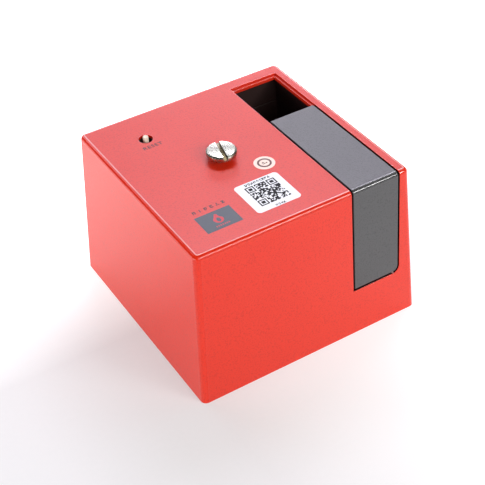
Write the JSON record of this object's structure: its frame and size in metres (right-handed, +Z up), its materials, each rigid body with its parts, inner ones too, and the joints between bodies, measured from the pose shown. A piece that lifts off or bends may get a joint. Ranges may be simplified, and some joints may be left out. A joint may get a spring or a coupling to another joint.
{
  "type": "burner flame safeguard control",
  "caption": "Red plug-in flame safeguard relay unit: drafted square cover, grey lift-out programmer module, open amplifier bay, reset push rod and long captive screw.",
  "frame": {"origin": "centre of the cover's rim, in the plane where the unit meets its wiring base or a table", "axes": "+Z up through the cover's top face, -Y towards the front where the module's face is, +X to the right seen from the front"},
  "size_m": [0.127, 0.127, 0.0918],
  "materials": {
    "cover_red": "satin moulded red plastic",
    "label_white": "printed white polyester label",
    "label_cream": "small round cream paper label with a printed ring",
    "plate_black": "moulded black phenolic",
    "zinc_screw": "bright zinc plate",
    "tinned_brass": "half-hard brass blade, tinned",
    "plated_steel": "plated steel tube",
    "board_green": "solder-masked glass-epoxy circuit board",
    "core_steel": "varnished silicon-steel laminations",
    "nylon_white": "natural nylon",
    "winding_tape": "copper winding under amber tape",
    "capacitor_sleeve": "dark blue sleeve on an aluminium can",
    "chip_black": "moulded epoxy",
    "socket_black": "glass-filled nylon",
    "gold_contact": "gold-flashed spring contact",
    "liner_black": "matt black moulded liner",
    "spring_steel": "spring steel",
    "switch_black": "moulded switch case",
    "relay_blue": "sealed blue relay case",
    "module_grey": "fine-grained moulded grey plastic",
    "nickel_screw": "turned brass, bright nickel plate",
    "rod_cream": "translucent cream acetal"
  },
  "bodies": {
    "housing": {"cover": "cover_red", "code_label": "label_white", "date_label": "label_cream", "base_plate": "plate_black", "base_screws": "zinc_screw", "contact_blades": "tinned_brass", "board_spacers": "plated_steel", "board_screws": "zinc_screw", "main_board": "board_green", "transformer_core": "core_steel", "transformer_bobbin": "nylon_white", "transformer_coil": "winding_tape", "capacitor_front": "capacitor_sleeve", "capacitor_rear": "capacitor_sleeve", "timing_chip": "chip_black", "programmer_socket": "socket_black", "programmer_contacts": "gold_contact", "amplifier_socket": "socket_black", "amplifier_contacts": "gold_contact", "module_bay": "liner_black", "screw_guide_tube": "plated_steel", "reset_sleeve": "liner_black", "reset_spring": "spring_steel", "reset_switch": "switch_black", "relay_blower": "relay_blue", "relay_ignition": "relay_blue", "relay_pilot_valve": "relay_blue", "relay_main_valve": "relay_blue"},
    "programmer_module": {"module_shell": "module_grey", "module_side_panel": "module_grey", "module_board": "board_green", "module_chip": "chip_black", "module_screws": "zinc_screw"},
    "screw_carrier": {"screw_retaining_ring": "spring_steel"},
    "captive_screw": {"captive_screw": "nickel_screw"},
    "reset_button": {"reset_rod": "rod_cream", "reset_clip": "spring_steel", "reset_plunger": "nylon_white"}
  },
  "joints": [
    {"name": "module_lift", "type": "slide", "parent": "housing", "child": "programmer_module", "axis": [0, 0, 1], "range_m": [0, 0.07]},
    {"name": "screw_lift", "type": "slide", "parent": "housing", "child": "screw_carrier", "axis": [0, 0, 1], "range_m": [-0.0024, 0.0048]},
    {"name": "screw_turn", "type": "hinge", "parent": "screw_carrier", "child": "captive_screw", "pos_m": [-0.01, 0, 0], "axis": [0, 0, 1], "continuous": true},
    {"name": "reset_press", "type": "slide", "parent": "housing", "child": "reset_button", "axis": [0, 0, -1], "range_m": [0, 0.003], "stiffness_N_per_m": 400, "springref_m": -0.002, "deforming": ["reset_spring"]}
  ]
}
